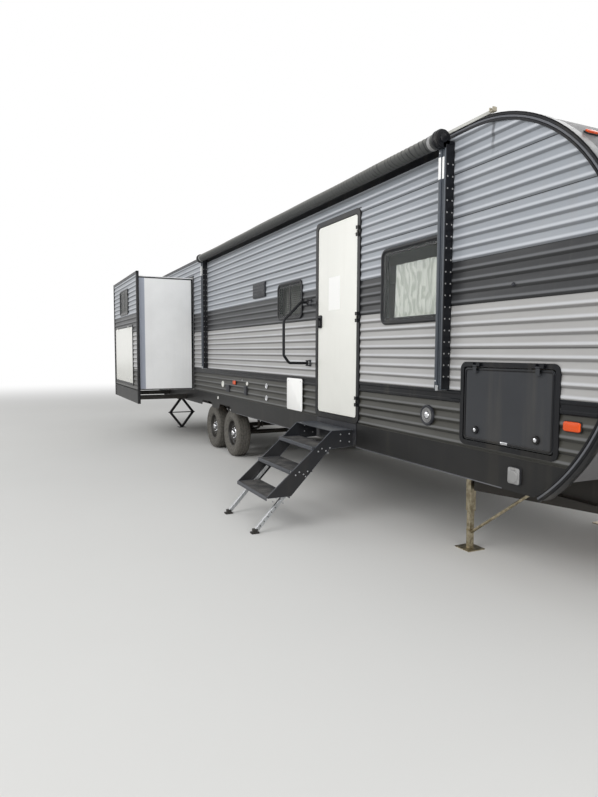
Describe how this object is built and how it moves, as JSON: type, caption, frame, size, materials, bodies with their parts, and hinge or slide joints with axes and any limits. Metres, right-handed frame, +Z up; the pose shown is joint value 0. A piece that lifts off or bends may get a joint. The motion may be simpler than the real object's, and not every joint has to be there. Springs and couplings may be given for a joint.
{
  "type": "travel caravan with two slide-out rooms",
  "caption": "Long towable caravan with ribbed siding, rounded front, two slide-out rooms, awning, entry steps, tandem axles and an A-frame with ball coupler and jack.",
  "frame": {"origin": "on the ground under the middle of the overall length and width", "axes": "+X forward to the coupler, -Y the entry door's side, +Z up"},
  "size_m": [11.9, 4.385, 3.37],
  "materials": {
    "black_steel": "satin black paint",
    "underbelly_sheet": "matt black corrugated plastic",
    "floor_board": "plywood deck with vinyl cover",
    "wall_board": "white laminated wall panel",
    "cap_grey": "grey gel coat",
    "roof_white": "white roof membrane",
    "siding_grey": "satin painted aluminium",
    "skirt_black": "satin black",
    "trim_black": "black moulding",
    "glass_dark": "tinted safety glass",
    "door_white": "white gel coat",
    "tyre_rubber": "worn rubber",
    "rim_steel": "dark painted steel",
    "gas_white": "white enamel",
    "bare_steel": "zinc plated",
    "fabric_grey": "rolled awning cloth",
    "lamp_lens": "amber and red lenses",
    "fitting_grey": "moulded plastic",
    "unit_white": "white moulded cover"
  },
  "bodies": {
    "caravan": {"chassis": "black_steel", "outriggers": "black_steel", "underbelly": "underbelly_sheet", "floor": "floor_board", "wall_door_side": "wall_board", "wall_off_side": "wall_board", "wall_rear": "wall_board", "front_cap": "cap_grey", "roof": "roof_white", "siding": "siding_grey", "skirts": "skirt_black", "body_trim": "trim_black", "axles": "black_steel", "leaf_springs": "black_steel", "coupler": "black_steel", "tongue_jack": "black_steel", "gas_cylinders": "gas_white", "gas_rack": "black_steel", "battery_box": "trim_black", "window_frames": "trim_black", "window_panes": "glass_dark", "door_frames": "trim_black", "awning_roller": "fabric_grey", "awning_arms": "trim_black", "roof_units": "unit_white", "roof_vents": "unit_white", "ladder": "bare_steel", "lamps": "lamp_lens", "wall_fittings": "fitting_grey", "stabilizers": "bare_steel"},
    "jack_leg": {"jack_leg": "bare_steel"},
    "entry_door": {"entry_door": "door_white", "entry_handle": "trim_black"},
    "baggage_door_door": {"baggage_door_door": "siding_grey"},
    "baggage_door_off": {"baggage_door_off": "siding_grey"},
    "slide_rear": {"slide_rear_box": "door_white", "slide_rear_face": "wall_board", "slide_rear_siding": "siding_grey", "slide_rear_trim": "trim_black", "slide_rear_rails": "black_steel", "slide_rear_panes": "glass_dark"},
    "slide_living": {"slide_living_box": "door_white", "slide_living_face": "wall_board", "slide_living_siding": "siding_grey", "slide_living_trim": "trim_black", "slide_living_rails": "black_steel", "slide_living_panes": "glass_dark"},
    "kitchen_door": {"kitchen_door": "door_white"},
    "steps": {"step_frame": "black_steel", "step_treads": "black_steel"},
    "grab_handle": {"grab_handle": "trim_black"},
    "wheel_front_door": {"wheel_front_door": "rim_steel", "tyre_front_door": "tyre_rubber"},
    "wheel_front_off": {"wheel_front_off": "rim_steel", "tyre_front_off": "tyre_rubber"},
    "wheel_rear_door": {"wheel_rear_door": "rim_steel", "tyre_rear_door": "tyre_rubber"},
    "wheel_rear_off": {"wheel_rear_off": "rim_steel", "tyre_rear_off": "tyre_rubber"}
  },
  "joints": [
    {"name": "wheel_front_door_spin", "type": "hinge", "parent": "caravan", "child": "wheel_front_door", "pos_m": [-1.506, -1.0275, 0.34], "axis": [0, 1, 0], "continuous": true},
    {"name": "wheel_front_off_spin", "type": "hinge", "parent": "caravan", "child": "wheel_front_off", "pos_m": [-1.506, 1.0275, 0.34], "axis": [0, 1, 0], "continuous": true},
    {"name": "wheel_rear_door_spin", "type": "hinge", "parent": "caravan", "child": "wheel_rear_door", "pos_m": [-2.395, -1.0275, 0.34], "axis": [0, 1, 0], "continuous": true},
    {"name": "wheel_rear_off_spin", "type": "hinge", "parent": "caravan", "child": "wheel_rear_off", "pos_m": [-2.395, 1.0275, 0.34], "axis": [0, 1, 0], "continuous": true},
    {"name": "entry_door_hinge", "type": "hinge", "parent": "caravan", "child": "entry_door", "pos_m": [2.246, -1.246, 1.836], "axis": [0, 0, 1], "range_deg": [0, 160]},
    {"name": "baggage_door_door_hinge", "type": "hinge", "parent": "caravan", "child": "baggage_door_door", "pos_m": [4.0365, -1.241, 1.443], "axis": [-1, 0, 0], "range_deg": [0, 160]},
    {"name": "baggage_door_off_hinge", "type": "hinge", "parent": "caravan", "child": "baggage_door_off", "pos_m": [4.0365, 1.241, 1.443], "axis": [1, 0, 0], "range_deg": [0, 160]},
    {"name": "slide_rear_travel", "type": "slide", "parent": "caravan", "child": "slide_rear", "axis": [0, 1, 0], "range_m": [0, 0.9]},
    {"name": "slide_living_travel", "type": "slide", "parent": "caravan", "child": "slide_living", "axis": [0, -1, 0], "range_m": [0, 0.913]},
    {"name": "kitchen_door_hinge", "type": "hinge", "parent": "slide_rear", "child": "kitchen_door", "pos_m": [-4.46, -2.177, 1.956], "axis": [-1, 0, 0], "range_deg": [0, 90]},
    {"name": "steps_hinge", "type": "hinge", "parent": "caravan", "child": "steps", "pos_m": [1.865, -1.254, 0.815], "axis": [-1, 0, 0], "range_deg": [0, 85]},
    {"name": "grab_handle_swing", "type": "hinge", "parent": "caravan", "child": "grab_handle", "pos_m": [1.305, -1.256, 1.7225], "axis": [0, 0, -1], "range_deg": [0, 90]},
    {"name": "jack_travel", "type": "slide", "parent": "caravan", "child": "jack_leg", "axis": [0, 0, 1], "range_m": [0, 0.38]}
  ]
}
